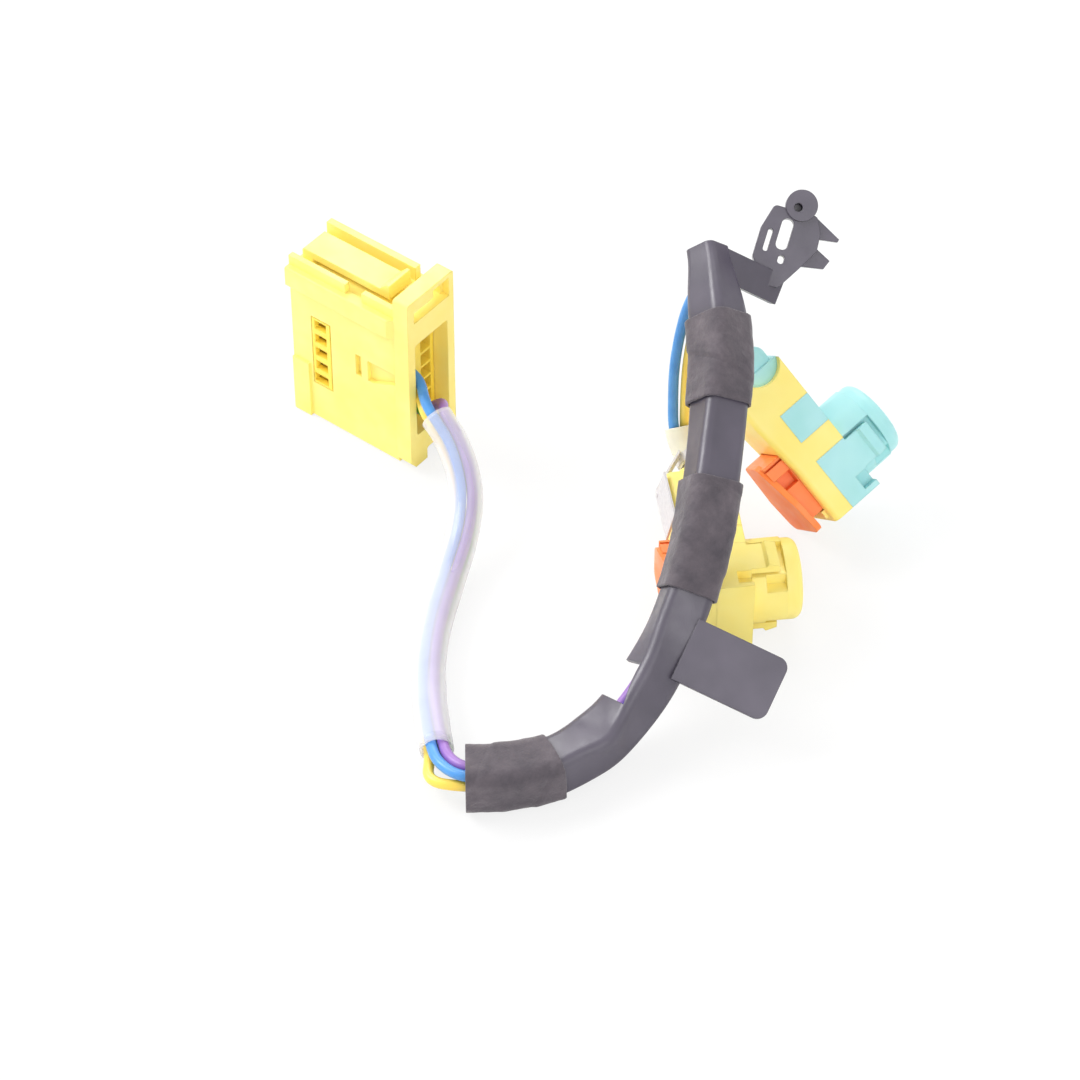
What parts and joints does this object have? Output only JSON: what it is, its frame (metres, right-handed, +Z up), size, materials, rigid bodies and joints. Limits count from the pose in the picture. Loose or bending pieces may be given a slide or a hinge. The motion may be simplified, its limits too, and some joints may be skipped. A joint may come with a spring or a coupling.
{
  "type": "wiring harness connector",
  "caption": "Steering-wheel wiring harness: tall flat connector, wires in a clear sleeve and a curved moulded guide with tape, clip and tongue, and right-angle plugs with secondary locks.",
  "frame": {"origin": "centre of the main connector's foot, on the surface that the harness lies on", "axes": "+Z up; +X along the main connector towards its wire face; +Y across it"},
  "size_m": [0.093, 0.0915, 0.0423],
  "materials": {
    "yellow_plastic": "moulded, satin",
    "deep_yellow_plastic": "moulded, satin",
    "teal_plastic": "moulded, satin",
    "orange_plastic": "moulded, satin",
    "black_plastic": "moulded, satin",
    "tape": "adhesive tape, matte",
    "clear_plastic": "clear flexible sleeve",
    "paper": "bare white flag",
    "blue_insulation": "extruded",
    "violet_insulation": "extruded",
    "yellow_insulation": "extruded",
    "green_insulation": "extruded",
    "ferrite": "sintered",
    "contact_metal": "plated"
  },
  "bodies": {
    "harness": {"branch_label": "paper", "branch_sleeve": "clear_plastic", "clear_sleeve": "clear_plastic", "main_contact_carrier": "deep_yellow_plastic", "main_housing": "yellow_plastic", "main_terminal_blue": "contact_metal", "main_terminal_green": "contact_metal", "main_terminal_violet": "contact_metal", "main_terminal_yellow": "contact_metal", "plug_1_body": "teal_plastic", "plug_1_cover": "yellow_plastic", "plug_1_ferrite": "ferrite", "plug_1_shorting_clip": "contact_metal", "plug_1_terminal_a": "contact_metal", "plug_1_terminal_b": "contact_metal", "plug_2_body": "yellow_plastic", "plug_2_cover": "yellow_plastic", "plug_2_ferrite": "ferrite", "plug_2_shorting_clip": "contact_metal", "plug_2_terminal_a": "contact_metal", "plug_2_terminal_b": "contact_metal", "tape_wrap_lower": "tape", "tape_wrap_middle": "tape", "tape_wrap_upper": "tape", "wire_blue": "blue_insulation", "wire_green": "green_insulation", "wire_guide": "black_plastic", "wire_violet": "violet_insulation", "wire_yellow": "yellow_insulation"},
    "comb": {"main_secondary_lock": "deep_yellow_plastic"},
    "lock_1": {"plug_1_lock": "orange_plastic"},
    "lock_2": {"plug_2_lock": "orange_plastic"}
  },
  "joints": [
    {"name": "main_secondary_lock_slide", "type": "slide", "parent": "harness", "child": "comb", "axis": [0, -1, 0], "range_m": [0, 0.0012]},
    {"name": "plug_1_lock_slide", "type": "slide", "parent": "harness", "child": "lock_1", "axis": [0.2365, 0.9044, 0.3551], "range_m": [0, 0.0013]},
    {"name": "plug_2_lock_slide", "type": "slide", "parent": "harness", "child": "lock_2", "axis": [0.7085, 0.7058, 0], "range_m": [0, 0.0013]}
  ]
}
